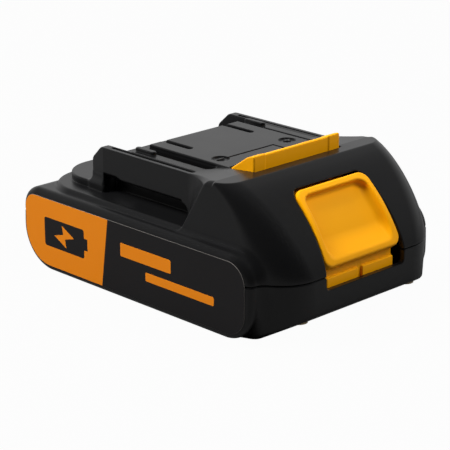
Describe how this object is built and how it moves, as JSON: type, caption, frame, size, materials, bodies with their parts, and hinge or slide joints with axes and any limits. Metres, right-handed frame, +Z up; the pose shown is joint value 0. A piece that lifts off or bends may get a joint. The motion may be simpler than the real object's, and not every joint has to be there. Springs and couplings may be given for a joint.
{
  "type": "power tool battery pack",
  "caption": "Slide-on cordless tool battery pack: low two-part case with a rail tower and contact slots, wraparound side labels, and a sprung amber release latch pressed at one end",
  "frame": {"origin": "centre of the bounding box in plan, on the surface the pack stands on", "axes": "+X along the pack towards the latch end, +Y across it to the side of the positive contact, +Z up"},
  "size_m": [0.1046, 0.074, 0.0455],
  "materials": {
    "shell_plastic": "fine spark-eroded moulding texture, satin",
    "latch_plastic": "smooth satin moulding",
    "spring_steel": "drawn wire",
    "cell_sleeve": "shrink sleeve",
    "ring_paper": "insulating paper",
    "holder_plastic": "plain moulding",
    "nickel_strip": "rolled nickel strip",
    "sheet_paper": "fish paper",
    "foam": "closed-cell foam",
    "board": "solder mask over glass laminate",
    "block_plastic": "glass-filled moulding",
    "contact_copper": "stamped copper alloy",
    "chip_plastic": "moulded package",
    "thermistor_bead": "dipped bead",
    "screw_steel": "yellow-passivated zinc",
    "label_film": "printed film"
  },
  "bodies": {
    "pack": {"lower_case": "shell_plastic", "upper_case": "shell_plastic", "latch_spring_left": "spring_steel", "latch_spring_right": "spring_steel", "cell_1": "cell_sleeve", "cell_2": "cell_sleeve", "cell_3": "cell_sleeve", "cell_4": "cell_sleeve", "cell_5": "cell_sleeve", "cell_rings": "ring_paper", "cell_holder_left": "holder_plastic", "cell_holder_right": "holder_plastic", "negative_tab": "nickel_strip", "link_1_2": "nickel_strip", "link_2_3": "nickel_strip", "link_3_4": "nickel_strip", "link_4_5": "nickel_strip", "positive_tab": "nickel_strip", "insulator_left": "sheet_paper", "insulator_right": "sheet_paper", "foam_pad_left": "foam", "foam_pad_right": "foam", "circuit_board": "board", "terminal_block": "block_plastic", "contact_negative": "contact_copper", "contact_data": "contact_copper", "contact_temperature": "contact_copper", "contact_positive": "contact_copper", "controller_chip": "chip_plastic", "power_transistor_left": "chip_plastic", "power_transistor_right": "chip_plastic", "sense_resistor": "chip_plastic", "thermistor": "thermistor_bead", "board_screws": "screw_steel", "case_screws": "screw_steel", "label_left": "label_film", "label_right": "label_film"},
    "latch": {"release_latch": "latch_plastic"}
  },
  "joints": [
    {"name": "latch_press", "type": "slide", "parent": "pack", "child": "latch", "axis": [0, 0, -1], "range_m": [0, 0.0042], "stiffness_N_per_m": 1500, "springref_m": -0.003, "deforming": ["latch_spring_left", "latch_spring_right"]}
  ]
}
